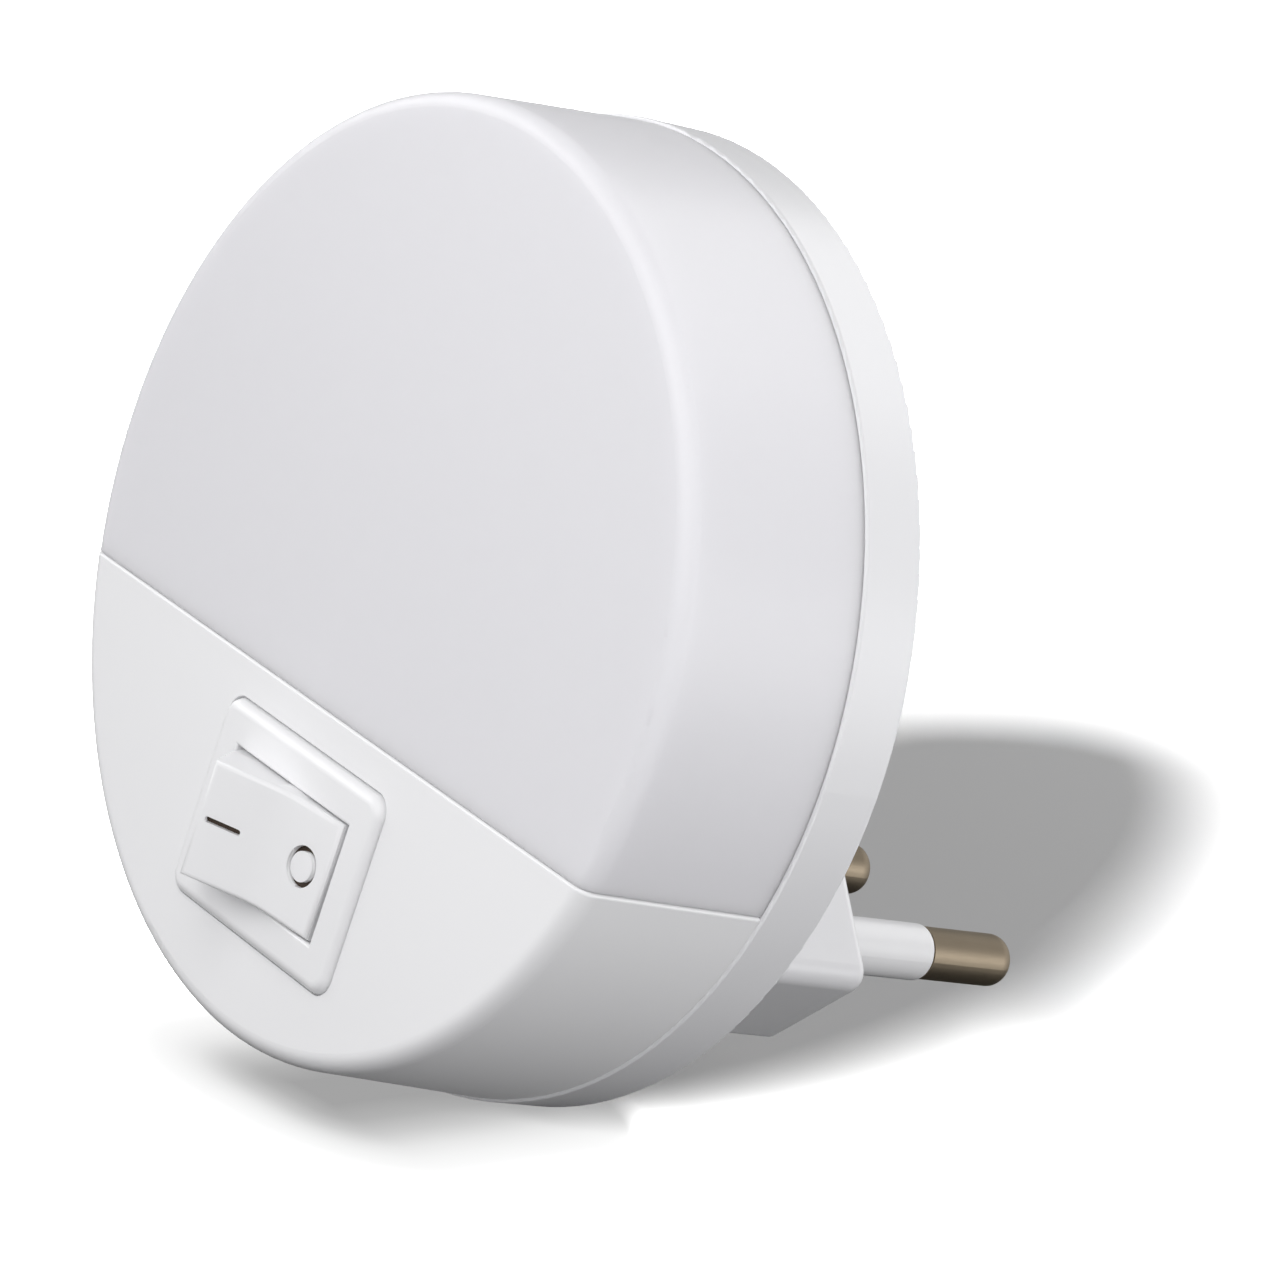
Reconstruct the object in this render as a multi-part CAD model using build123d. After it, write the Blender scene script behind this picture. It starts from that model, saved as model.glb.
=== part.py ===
from build123d import *
import math
import os

# Round plug-in night light with a rocker switch, in millimetres and degrees.
# The origin is on the plug's rear face midway between the pins: +Y goes into the wall outlet,
# -Y faces the room and +Z is up.

# Plug pins and sleeves
pin_spacing = 18.75          # between the pin axes where they leave the plug
pin_lean = 1.2               # each pin leans this much towards the other
pin_diameter = 4.0
pin_length = 20.0            # beyond the rear face
pin_tip_radius = 1.4
pin_shank_diameter = 3.0     # core under the sleeve
pin_head_diameter = 5.6
pin_head_thickness = 1.5
pin_tail_diameter = 2.2
pin_tail_length = 6.0
sleeve_diameter = 4.3
sleeve_length = 11.4         # beyond the rear face
sleeve_tip_radius = 0.5
sleeve_bevel = 0.45          # bevel of the plug's rear face round each sleeve

# Plug block, a flattened hexagon with 45 degree sides
plug_length = 22.0
plug_side = 8.275            # from each pin's axis to the plug's side
plug_height = 15.4
plug_side_radius = 1.5
plug_corner_radius = 0.6
plug_edge_radius = 0.8
plug_wall = 2.0
plug_end_wall = 3.0

# Plate that holds the pin heads
retainer_thickness = 2.4
retainer_boss_radius = 2.6

# Round back plate
plate_diameter = 71.0
pins_above_edge = 16.05      # from the plate's lower edge to the pins
plate_rim = 5.0              # depth of the rim band
plate_wall = 2.2
rim_wall = 1.9
plate_edge_radius = 0.3
rim_edge_radius = 0.2

# Front shells
body_depth = 19.9            # back of the plate to the front face
body_step = 0.2              # the body stands in from the rim by this much
body_taper = 0.8             # and its front from its rear by this much
face_edge_radius = 1.35
shell_wall = 1.9
inner_edge_radius = 0.5
diffuser_wall = 1.8
diffuser_inset = 0.08        # the diffuser stands back from the cover by this much
parting_margin = 2.8         # parting line above the switch bezel
parting_gap = 0.06
parting_edge_radius = 0.25
ledge_thickness = 1.2        # diffuser flange behind the cover's upper edge
ledge_drop = 2.2
ledge_root = 2.0
tongue_thickness = 1.2       # lip of the shells inside the rim
tongue_depth = 2.6
tongue_root = 1.6
ridge_height = 0.5           # snap ridges on the lip
ridge_span = 24.0
diffuser_ridge_angles = (20.0, 90.0, 160.0)
cover_ridge_angles = (235.0, 305.0)
fit_gap = 0.15               # between moulded pieces that slip into each other
pick = 0.01                  # tolerance for finding edges on a plane

# Screws
screw_shank_diameter = 2.5
screw_head_diameter = 5.0
screw_head_height = 1.7
screw_head_edge = 0.4
screw_sink = 1.0             # cover screw heads below the back of the plate
screw_fit = 0.05
cover_screw_drop = 8.2       # of the cover screws below the parting line
cover_boss_clear = 0.9       # from their bosses to the lip
cover_screw_length = 10.0
cover_boss_wall = 1.5
rib_thickness = 1.2
board_screw_length = 5.0
retainer_screw_length = 5.6

# Rocker switch
switch_height = -0.8         # switch centre above the pins
bezel_length = 21.0
bezel_height = 15.0
bezel_rise = 0.6             # proud of the front face
bezel_corner_radius = 1.5
bezel_edge_radius = 0.85
pocket_depth = 0.4           # shallow seat for the bezel in the cover
pocket_gap = 0.12
pocket_lift = 0.06           # the switch sits this low in its seat
flange_ends = 0.9            # bezel beyond the cut-out at its ends
flange_sides = 1.05
switch_end_wall = 1.85
switch_side_wall = 1.8
switch_floor = 1.6
opening_edge_radius = 0.25
wing_reach = 0.7             # snap wings beyond the cut-out
wing_width = 5.0
wing_length = 4.5
blade_thickness = 0.8
blade_width = 4.8
blade_length = 7.0           # below the switch body
load_blade_gap = 1.6         # from the opening's end to the middle of the blade
terminal_clear = 0.67        # from the load terminal's foot to the floor

# Rocker
rocker_throw = 20.0          # to each side of its middle position
rocker_dish = 12.0           # slope of each half of the face at the middle position
rocker_pivot_depth = 2.4     # behind the bezel's front
rocker_gap = 0.32            # skirt to the opening
rocker_side_gap = 0.14
rocker_end_gap = 0.5         # pressed end to the opening
rocker_flush = 0.1           # pressed end above the bezel
rocker_wall = 1.2
rocker_valley_radius = 6.0
rocker_edge_radius = 0.4
rocker_skirt_angle = 30.0    # skirt below the pivot's level when its end is pressed
trunnion_radius = 1.2
trunnion_length = 1.2
running_fit = 0.04
tube_radius = 2.0
bore_radius = 1.25
tube_drop = 2.4              # tube end below the pivot
bore_roof = 1.5              # wall left over the bore

# Plunger, spring and see-saw contact
plunger_radius = 1.15
plunger_top = 0.2            # below the rocker pivot
plunger_reach = 1.36         # beyond the pressed skirt
plunger_tip_radius = 1.0
spring_wire = 0.3
spring_turns = 3.0
spring_fit = 0.06
lever_throw = 8.0
lever_gap = 0.12             # plunger to lever at the middle position
lever_thickness = 0.6
lever_width = 3.6
lever_corner_radius = 0.9
lever_end_gap = 2.2          # from the lever's end to the opening's end
lever_bead_radius = 0.5
contact_radius = 1.1
contact_height = 0.5
contact_gap = 0.06
cradle_length = 2.0
cradle_height = 1.6
cradle_drop = 0.3

# Circuit board and components
board_width = 36.0
board_height = 18.0
board_thickness = 1.6
board_rise = 2.4             # above the parting line
board_clear = 1.1            # from the can to the back plate
board_corner_radius = 2.0
post_inset = 3.0             # of each post from the board's end
post_radius = 2.4
led_length = 3.5
led_width = 2.8
led_height = 0.8
led_well_radius = 1.1
led_well_depth = 0.25
led_spacing_x = 18.0
led_spacing_z = 10.0
film_length = 13.0
film_width = 9.0
film_height = 6.0
film_edge_radius = 0.6
film_place = (-2.6, -3.5)    # from the board's centre
can_diameter = 6.3
can_length = 11.0
can_edge = 0.35
can_groove = 0.35
can_groove_place = 1.4       # from the lead end
can_lead_pitch = 2.5
can_place = (0.5, 5.5)       # of its lead end
bridge_length = 6.4
bridge_width = 5.0
bridge_height = 2.5
bridge_chamfer = 0.3
bridge_place = (9.0, -5.2)
resistor_diameter = 2.4
resistor_length = 6.3
resistor_edge = 0.3
resistor_cap = 1.4           # length of each swollen end
resistor_pitch = 10.0
resistor_lift = 0.3
resistor_waist = 0.2         # the body is this much slimmer between them
component_lead = 0.6
fuse_place = (-7.5, 7.0)
discharge_place = (-7.5, 3.6)

# Inner leads
lead_diameter = 1.6
lead_bend = 2.4
lamp_lead_place = (14.2, -6.8)
neutral_lead_place = (-13.0, -6.8)
lead_clear = 2.0             # from the back plate's inner face
lamp_rise = 6.0              # of the lamp lead above its blade
lamp_turn = 6.5              # of the lamp lead below its board pad
neutral_turn = 9.0           # of the neutral lead below its board pad

# Sizes and planes that the pieces share
plug_width = pin_spacing + 2 * plug_side
disc_height = plate_diameter / 2 - pins_above_edge
body_rear_radius = plate_diameter / 2 - body_step
body_front_radius = body_rear_radius - body_taper
parting_height = switch_height + bezel_height / 2 + parting_margin
board_standoff = can_diameter + board_clear
board_centre = parting_height + board_rise + board_height / 2
post_offset = board_width / 2 - post_inset
plate_back = -plug_length
plate_inside = plate_back - plate_wall
rim_front = plate_back - plate_rim
face = plate_back - body_depth
bezel_front = face - bezel_rise
pivot_y = bezel_front + rocker_pivot_depth
board_rear = plate_inside - board_standoff
board_front = board_rear - board_thickness
rim_inner_radius = plate_diameter / 2 - rim_wall
tongue_outer_radius = rim_inner_radius - fit_gap
lip_inner_radius = tongue_outer_radius - tongue_thickness
disc_axis = Axis((0, 0, disc_height), (0, 1, 0))

# Sizes inside the switch
cutout_length = bezel_length - 2 * flange_ends
cutout_height = bezel_height - 2 * flange_sides
opening_length = cutout_length - 2 * (fit_gap + switch_end_wall)
opening_height = cutout_height - 2 * (fit_gap + switch_side_wall)
rocker_width = opening_height - 2 * rocker_side_gap
rocker_radius = opening_length / 2 - rocker_gap
end_x = opening_length / 2 - rocker_end_gap
end_y = rocker_pivot_depth + rocker_flush
plunger_tip = rocker_radius * math.sin(math.radians(rocker_skirt_angle)) + plunger_reach
lever_axis_depth = plunger_tip + lever_gap + lever_thickness
lever_axis_y = pivot_y + lever_axis_depth
lever_half_length = opening_length / 2 - lever_end_gap
load_blade_offset = opening_length / 2 - load_blade_gap
contact_reach = lever_half_length - contact_radius
closed_sine = math.sin(math.radians(lever_throw))
closed_cosine = math.cos(math.radians(lever_throw))
closed_drop = (contact_reach + contact_radius) * closed_sine + contact_height * closed_cosine + contact_gap
foot_drop = closed_drop + contact_height + blade_thickness
switch_depth = rocker_pivot_depth + lever_axis_depth + foot_drop + terminal_clear + switch_floor


def wall_plane(y, x=0.0, z=0.0):
    # Upright plane whose normal faces the room, with X to the right and Z up.
    return Plane(origin=(x, y, z), x_dir=(1, 0, 0), z_dir=(0, -1, 0))


def slab(sketch, rear_y, front_y, x=0.0, z=0.0):
    return extrude(wall_plane(rear_y, x, z) * sketch, rear_y - front_y)


def turned(*points):
    # Solid turned about the disc's axis from points given as (radius, y).
    plane = Plane(origin=(0, 0, disc_height), x_dir=(1, 0, 0), z_dir=(0, 0, 1))
    return revolve(plane * make_face(Polyline(*points, close=True)), disc_axis)


def hexagon(width, height):
    flat = (width - height) / 2
    return make_face(Polyline(
        (-width / 2, 0), (-flat, -height / 2), (flat, -height / 2),
        (width / 2, 0), (flat, height / 2), (-flat, height / 2), close=True))


def body_form(inset):
    # Round body, its walls moved in by the inset, open to the rim at the back.
    front = body_front_radius - inset
    rear = body_rear_radius - inset
    form = turned((0, face + inset), (front, face + inset), (rear, rim_front), (0, rim_front))
    edge = form.edges().filter_by(GeomType.CIRCLE).sort_by(Axis.Y)[0]
    return fillet(edge, max(face_edge_radius - inset, inner_edge_radius))


def half_space(low_z, high_z):
    reach = 2 * plate_diameter
    box = Box(reach, reach, high_z - low_z, align=(Align.CENTER, Align.CENTER, Align.MIN))
    return Pos(0, 0, low_z) * box


def snap_ridge(height, angle):
    # Part of a ridge round the lip, or a groove all the way round where the angle is None.
    plane = Plane(origin=(0, 0, disc_height), x_dir=(1, 0, 0), z_dir=(0, 0, 1))
    root = tongue_outer_radius - tongue_thickness / 2
    middle = rim_front + tongue_depth / 2
    profile = plane * make_face(Polyline(
        (root, middle - height), (tongue_outer_radius, middle - height),
        (tongue_outer_radius + height, middle), (tongue_outer_radius, middle + height),
        (root, middle + height), close=True))
    if angle is None:
        return revolve(profile, disc_axis)
    return revolve(profile, disc_axis, ridge_span).rotate(disc_axis, -angle - ridge_span / 2)


def tongue():
    # Lip inside the rim, its root reaching into the wall of the shell.
    wall_middle = body_rear_radius - shell_wall / 2
    front = rim_front - tongue_root
    rear = rim_front + tongue_depth
    return turned(
        (lip_inner_radius, front), (wall_middle, front), (wall_middle, rim_front),
        (tongue_outer_radius, rim_front), (tongue_outer_radius, rear), (lip_inner_radius, rear))


def screw(length):
    # Pan head screw with its head's underside at y = 0 and its shank towards the room.
    head = slab(Circle(screw_head_diameter / 2), screw_head_height, 0)
    head = chamfer(head.edges().sort_by(Axis.Y)[-1], screw_head_edge)
    return head + slab(Circle(screw_shank_diameter / 2), 0, -length)


def screw_bore(length):
    return slab(Circle(screw_shank_diameter / 2 + screw_fit), 0, -length)


def pin_place(side):
    # Moves a piece modelled on the Y axis to one pin, leaning towards the other.
    return Pos(side * pin_spacing / 2, 0, 0) * Rot(0, 0, side * pin_lean)


def back_plate():
    radius = plate_diameter / 2
    plate = turned((0, plate_back), (radius, plate_back), (radius, rim_front), (0, rim_front))
    circles = plate.edges().filter_by(GeomType.CIRCLE).sort_by(Axis.Y)
    plate = fillet(circles[-1], plate_edge_radius)
    plate = fillet(plate.edges().filter_by(GeomType.CIRCLE).sort_by(Axis.Y)[0], rim_edge_radius)
    plate -= turned(
        (0, plate_inside), (rim_inner_radius, plate_inside),
        (rim_inner_radius, rim_front), (0, rim_front))
    plate -= snap_ridge(ridge_height + fit_gap, None)

    block = slab(hexagon(plug_width, plug_height), 0, plate_back)
    runs = block.edges().filter_by(Axis.Y).sort_by(Axis.X)
    block = fillet([runs[0], runs[-1]], plug_side_radius)
    runs = block.edges().filter_by(Axis.Y)
    top = runs.filter_by_position(Axis.Z, plug_height / 2 - pick, plug_height / 2 + pick)
    bottom = runs.filter_by_position(Axis.Z, -plug_height / 2 - pick, -plug_height / 2 + pick)
    block = fillet(top + bottom, plug_corner_radius)
    block = fillet(block.faces().sort_by(Axis.Y)[-1].outer_wire().edges(), plug_edge_radius)
    plate += block
    hollow = hexagon(plug_width - 2 * plug_wall * math.sqrt(2), plug_height - 2 * plug_wall)
    plate -= slab(hollow, -plug_end_wall, plate_inside)
    plate += slab(Circle(retainer_boss_radius), -plug_end_wall, -plug_end_wall - pin_head_thickness)
    seat = -plug_end_wall - pin_head_thickness - retainer_thickness
    plate -= Pos(0, seat, 0) * Rot(0, 0, 180) * screw_bore(retainer_screw_length)
    for side in (-1, 1):
        plate -= pin_place(side) * slab(Circle(sleeve_diameter / 2), plug_end_wall, -2 * plug_end_wall)
        plate -= pin_place(side) * slab(Circle(pin_head_diameter / 2), -plug_end_wall, -2 * plug_end_wall)
        bevel = Cone(sleeve_diameter / 2, sleeve_diameter / 2 + 2 * sleeve_bevel, 2 * sleeve_bevel)
        plate -= pin_place(side) * Rot(-90, 0, 0) * bevel

    for side in (-1, 1):
        post = slab(Circle(post_radius), plate_inside, board_rear, side * post_offset, board_centre)
        depth = board_screw_length - board_thickness
        hole = Circle(screw_shank_diameter / 2 + screw_fit)
        plate += post
        plate -= slab(hole, board_rear + depth, board_rear, side * post_offset, board_centre)

        spot = cover_spot(side)
        plate += slab(Circle(cover_boss_radius()), plate_inside, cover_boss_end(), *spot)
        recess = Circle(screw_head_diameter / 2 + fit_gap)
        plate -= slab(recess, plate_back, cover_seat(), *spot)
        plate -= slab(hole, plate_back, cover_boss_end(), *spot)
    return plate


def cover_boss_radius():
    return screw_head_diameter / 2 + fit_gap + cover_boss_wall


def cover_spot(side):
    # Place of a cover screw, with its boss just inside the lip.
    height = parting_height - cover_screw_drop
    reach = lip_inner_radius - cover_boss_radius() - cover_boss_clear
    return (side * math.sqrt(reach ** 2 - (disc_height - height) ** 2), height)


def cover_seat():
    # Where the heads of the cover screws bear, sunk below the back of the plate.
    return plate_back - screw_head_height - screw_sink


def cover_boss_end():
    return cover_seat() - plate_wall


def front_cover():
    shell = body_form(0) - body_form(shell_wall)
    cover = (shell + tongue()) & half_space(-plate_diameter, parting_height)
    upper = cover.edges().filter_by_position(Axis.Z, parting_height - pick, parting_height + pick)
    cover = fillet(upper.group_by(Axis.Y)[0], parting_edge_radius)
    for angle in cover_ridge_angles:
        cover += snap_ridge(ridge_height, angle)
    shank = screw_shank_diameter / 2 + screw_fit
    for side in (-1, 1):
        spot = cover_spot(side)
        boss = slab(Circle(shank + cover_boss_wall), cover_boss_end(), face + shell_wall / 2, *spot)
        rib = slab(Rectangle(rib_thickness, 2 * (shank + 2 * cover_boss_wall)),
                   face + shell_wall + (cover_boss_end() - face) / 2, face + shell_wall / 2, *spot)
        cover += boss + rib
        tip = cover_seat() - cover_screw_length - fit_gap
        cover -= slab(Circle(shank), cover_boss_end(), tip, *spot)
    pocket = Rectangle(bezel_length + 2 * pocket_gap, bezel_height + 2 * pocket_gap)
    pocket = fillet(pocket.vertices(), bezel_corner_radius + pocket_gap)
    seat = switch_height + pocket_lift
    cover -= slab(pocket, face + pocket_depth, face, 0, seat)
    cover -= slab(Rectangle(cutout_length, cutout_height), face + shell_wall, face, 0, seat)
    return cover


def diffuser():
    shell = body_form(diffuser_inset) - body_form(diffuser_inset + diffuser_wall)
    lower = parting_height + parting_gap
    cap = (shell + tongue()) & half_space(lower, plate_diameter)
    behind = shell_wall + fit_gap
    back = body_form(behind + ledge_thickness)
    ledge = (body_form(behind) - back) & half_space(parting_height - ledge_drop, parting_height + ledge_root)
    root = body_form(diffuser_inset + diffuser_wall / 2) - back
    ledge += root & half_space(lower, parting_height + ledge_root)
    rear = rim_front - tongue_root - fit_gap
    ledge -= turned((0, rear), (plate_diameter, rear), (plate_diameter, rim_front), (0, rim_front))
    cap += ledge
    for angle in diffuser_ridge_angles:
        cap += snap_ridge(ridge_height, angle)
    return cap


def plug_pin():
    # Turned pin: rounded tip, slimmer core under the sleeve, head and wire tail.
    tip = slab(Circle(pin_diameter / 2), pin_length, sleeve_length)
    tip = fillet(tip.edges().filter_by(GeomType.CIRCLE).sort_by(Axis.Y)[-1], pin_tip_radius)
    core = slab(Circle(pin_shank_diameter / 2), sleeve_length, -plug_end_wall)
    head_front = -plug_end_wall - pin_head_thickness
    head = slab(Circle(pin_head_diameter / 2), -plug_end_wall, head_front)
    return tip + core + head + slab(Circle(pin_tail_diameter / 2), head_front, head_front - pin_tail_length)


def pin_sleeve():
    tube = slab(Circle(sleeve_diameter / 2), sleeve_length, -plug_end_wall)
    tube = fillet(tube.edges().filter_by(GeomType.CIRCLE).sort_by(Axis.Y)[-1], sleeve_tip_radius)
    return tube - slab(Circle(pin_shank_diameter / 2), sleeve_length, -plug_end_wall)


def pin_retainer():
    rear = -plug_end_wall - pin_head_thickness
    width = plug_width - 2 * plug_wall * math.sqrt(2) - 2 * fit_gap * math.sqrt(2)
    plate = slab(hexagon(width, plug_height - 2 * plug_wall - 2 * fit_gap), rear, rear - retainer_thickness)
    hole = Circle(screw_shank_diameter / 2 + screw_fit)
    plate -= slab(hole, rear, rear - retainer_thickness)
    for side in (-1, 1):
        tail = slab(Circle(pin_tail_diameter / 2 + fit_gap), rear, rear - pin_tail_length)
        plate -= pin_place(side) * tail
        plate -= pin_place(side) * slab(Circle(pin_head_diameter / 2), -plug_end_wall, rear)
    return plate


def switch_housing():
    under = face + pocket_depth
    bottom = bezel_front + switch_depth
    bezel = slab(fillet(Rectangle(bezel_length, bezel_height).vertices(), bezel_corner_radius),
                 under, bezel_front, 0, switch_height)
    bezel = fillet(bezel.faces().sort_by(Axis.Y)[0].outer_wire().edges(), bezel_edge_radius)
    length = cutout_length - 2 * fit_gap
    body = slab(Rectangle(length, cutout_height - 2 * fit_gap), bottom, under, 0, switch_height)
    housing = bezel + body
    opening = Rectangle(opening_length, opening_height)
    housing -= slab(opening, bottom - switch_floor, bezel_front, 0, switch_height)
    mouth = housing.faces().sort_by(Axis.Y)[0].inner_wires()[0].edges()
    housing = fillet(mouth, opening_edge_radius)
    pivot = Pos(0, pivot_y, switch_height) * Cylinder(
        trunnion_radius + running_fit, opening_height + 2 * (trunnion_length + running_fit))
    housing -= pivot
    for x in (0, load_blade_offset):
        slot = Rectangle(blade_thickness, blade_width)
        housing -= slab(slot, bottom, bottom - switch_floor, x, switch_height)
    catch = face + shell_wall + fit_gap
    for side in (-1, 1):
        plane = Plane(origin=(0, 0, switch_height), x_dir=(1, 0, 0), z_dir=(0, 0, 1))
        root = side * (length / 2 - fit_gap)
        tip = side * (cutout_length / 2 + wing_reach)
        wing = make_face(Polyline((root, catch), (tip, catch), (root, catch + wing_length), close=True))
        housing += extrude(plane * wing, wing_width / 2, both=True)
    return housing


def rocker_plane(z=0.0):
    # Across the rocker at its pivot, with X to the right and Y out of the switch.
    return Plane(origin=(0, pivot_y, switch_height + z), x_dir=(1, 0, 0), z_dir=(0, 0, -1))


def raised(x, y):
    # A point of the pressed right half, turned up to the middle position.
    turn = math.radians(rocker_throw)
    return (x * math.cos(turn) - y * math.sin(turn), x * math.sin(turn) + y * math.cos(turn))


def mirrored(point):
    return (-point[0], point[1])


crest = raised(end_x, end_y)
valley_y = crest[1] - crest[0] * math.tan(math.radians(rocker_dish))


def rocker_section(wall, below):
    # Dished face, upright ends and round skirts, moved in by the wall and closed below.
    radius = rocker_radius - wall
    flat_x = end_x - wall
    flat_angle = -math.degrees(math.acos(flat_x / radius))
    slope = math.tan(math.radians(rocker_dish))
    roof = valley_y - wall / math.cos(math.radians(rocker_dish))
    foot = raised(flat_x, radius * math.sin(math.radians(flat_angle)))
    turn = math.radians(rocker_throw)
    rise = (roof + slope * foot[0] - foot[1]) / (math.cos(turn) + slope * math.sin(turn))
    top = (foot[0] - rise * math.sin(turn), foot[1] + rise * math.cos(turn))
    middle, low = [
        raised(radius * math.cos(math.radians(a)), radius * math.sin(math.radians(a)))
        for a in ((flat_angle - rocker_skirt_angle) / 2, -rocker_skirt_angle)]
    corners = [(low[0], low[1] - below), (-low[0], low[1] - below)]
    base = [low] + corners + [mirrored(low)] if below else [low, mirrored(low)]
    return make_face([
        Polyline(mirrored(foot), mirrored(top), (0, roof), top, foot),
        ThreePointArc(foot, middle, low), Polyline(*base),
        ThreePointArc(mirrored(low), mirrored(middle), mirrored(foot))])


def to_rest(piece):
    # From the middle position to the photographed one, with the right half pressed in.
    return piece.rotate(Axis((0, pivot_y, switch_height), (0, 0, 1)), rocker_throw)


def rocker():
    middle = Pos(0, pivot_y, switch_height)
    form = extrude(rocker_plane() * rocker_section(0, 0), rocker_width / 2, both=True)
    valley = form.edges().filter_by(Axis.Z).sort_by_distance((0, pivot_y - valley_y, switch_height))[0]
    form = fillet(valley, rocker_valley_radius)
    front = form.faces().filter_by(lambda f: f.normal_at().Y < -0.7)
    rims = [e for f in front for e in f.edges() if abs((e % 0.5).Z) < 0.5]
    crests = form.edges().filter_by(Axis.Z).sort_by(Axis.Y)[:2]
    form = fillet(rims + list(crests), rocker_edge_radius)
    inside = extrude(rocker_plane() * rocker_section(rocker_wall, rocker_radius),
                     rocker_width / 2 - rocker_wall, both=True)
    form -= inside
    trunnions = Cylinder(trunnion_radius, opening_height + 2 * (trunnion_length - running_fit))
    form += middle * trunnions - inside
    form += middle * slab(Circle(tube_radius), tube_drop, -valley_y + rocker_wall / 2)
    form -= middle * slab(Circle(bore_radius), tube_drop, -valley_y + bore_roof)
    return to_rest(form)


def rocker_plunger():
    pin = slab(Circle(plunger_radius), plunger_tip, plunger_top)
    pin = fillet(pin.edges().filter_by(GeomType.CIRCLE).sort_by(Axis.Y)[-1], plunger_tip_radius)
    return to_rest(Pos(0, pivot_y, switch_height) * pin)


def plunger_spring():
    seat = -valley_y + bore_roof
    height = plunger_top - seat - spring_wire - 2 * spring_fit
    radius = plunger_radius - spring_wire / 2 - spring_fit
    path = Helix(height / spring_turns, height, radius)
    coil = sweep(Plane(path @ 0, z_dir=path % 0) * Circle(spring_wire / 2), path=path)
    start = seat + spring_wire / 2 + spring_fit
    return to_rest(Pos(0, pivot_y + start, switch_height) * Rot(-90, 0, 0) * coil)


def contact_lever():
    # See-saw strip with a bead underneath and a contact at its right end.
    top = -lever_thickness
    strip = Rectangle(2 * lever_half_length, lever_width)
    lever = slab(fillet(strip.vertices(), lever_corner_radius), 0, top)
    lever += Cylinder(lever_bead_radius, lever_width) & slab(strip, lever_bead_radius, top)
    lever += slab(Circle(contact_radius), contact_height, 0, contact_reach, 0)
    lever = Pos(0, lever_axis_y, switch_height) * lever
    return lever.rotate(Axis((0, lever_axis_y, switch_height), (0, 0, 1)), -lever_throw)


def common_terminal():
    tip = bezel_front + switch_depth + blade_length
    top = lever_axis_y + cradle_drop
    head = slab(Rectangle(cradle_length, lever_width), top + cradle_height, top, 0, switch_height)
    head -= Pos(0, lever_axis_y, switch_height) * Cylinder(lever_bead_radius + running_fit, lever_width)
    return head + slab(Rectangle(blade_thickness, blade_width), tip, top + cradle_height, 0, switch_height)


def load_terminal():
    # Blade with a foot that carries the fixed contact under the lever's right end.
    tip = bezel_front + switch_depth + blade_length
    closed = lever_axis_y + closed_drop
    pad_x = contact_reach * closed_cosine - contact_height * closed_sine
    right = load_blade_offset + blade_thickness / 2
    left = pad_x - contact_radius
    foot = slab(Rectangle(right - left, lever_width), closed + contact_height + blade_thickness,
                closed + contact_height, (left + right) / 2, switch_height)
    blade = slab(Rectangle(blade_thickness, blade_width), tip, closed + contact_height,
                 load_blade_offset, switch_height)
    pad = slab(Circle(contact_radius), closed + contact_height, closed, pad_x, switch_height)
    return foot + blade + pad


def circuit_board():
    outline = fillet(Rectangle(board_width, board_height).vertices(), board_corner_radius)
    board = slab(outline, board_rear, board_front, 0, board_centre)
    hole = Circle(screw_shank_diameter / 2 + screw_fit)
    for side in (-1, 1):
        board -= slab(hole, board_rear, board_front, side * post_offset, board_centre)
    return board


def led(x, z):
    package = slab(Rectangle(led_length, led_width), board_front, board_front - led_height, x, z)
    front = board_front - led_height
    return package - slab(Circle(led_well_radius), front + led_well_depth, front, x, z)


def on_board(place):
    return (place[0], board_centre + place[1])


def bent_lead(from_x, to_x, y, z):
    # Component wire along X, turned down to the board's rear face.
    path = Polyline((from_x, y, z), (to_x, y, z), (to_x, board_rear, z))
    section = Plane(path @ 0, z_dir=path % 0) * Circle(component_lead / 2)
    return sweep(section, path=path, transition=Transition.RIGHT)


def lying(*points):
    # Body turned from points given as (radius, along), lying along X.
    return Rot(0, 90, 0) * revolve(Plane.XZ * make_face(Polyline(*points, close=True)), Axis.Z)


def dropper_capacitor():
    case = slab(Rectangle(film_length, film_width), board_rear + film_height, board_rear,
                *on_board(film_place))
    edges = case.faces().sort_by(Axis.Y)[-1].edges() + case.edges().filter_by(Axis.Y)
    return fillet(edges, film_edge_radius)


def smoothing_capacitor():
    # Lying can with its rolled groove and two leads turned down to the board.
    end, z = on_board(can_place)
    radius = can_diameter / 2
    axis_y = board_rear + radius
    can = Pos(end, axis_y, z) * lying(
        (0, 0), (radius - can_edge, 0), (radius, can_edge),
        (radius, can_groove_place - can_groove), (radius - can_groove, can_groove_place),
        (radius, can_groove_place + can_groove),
        (radius, can_length - can_edge), (radius - can_edge, can_length), (0, can_length))
    for side in (-1, 1):
        can += bent_lead(end + can_edge, end - can_lead_pitch / 2, axis_y, z + side * can_lead_pitch / 2)
    return can


def bridge_rectifier():
    case = slab(Rectangle(bridge_length, bridge_width), board_rear + bridge_height, board_rear,
                *on_board(bridge_place))
    return chamfer(case.faces().sort_by(Axis.Y)[-1].edges(), bridge_chamfer)


def axial_resistor(place):
    # Round body with swollen ends and two leads turned down to the board.
    x, z = on_board(place)
    radius = resistor_diameter / 2
    axis_y = board_rear + resistor_lift + radius
    half = resistor_length / 2
    upper = [
        (0, half), (radius - resistor_edge, half), (radius, half - resistor_edge),
        (radius, half - resistor_cap), (radius - resistor_waist, half - resistor_cap - resistor_waist)]
    lower = [(r, -along) for r, along in reversed(upper)]
    body = Pos(x, axis_y, z) * lying(*upper, *lower)
    for side in (-1, 1):
        inner = x + side * (half - component_lead)
        body += bent_lead(inner, x + side * resistor_pitch / 2, axis_y, z)
    return body


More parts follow.
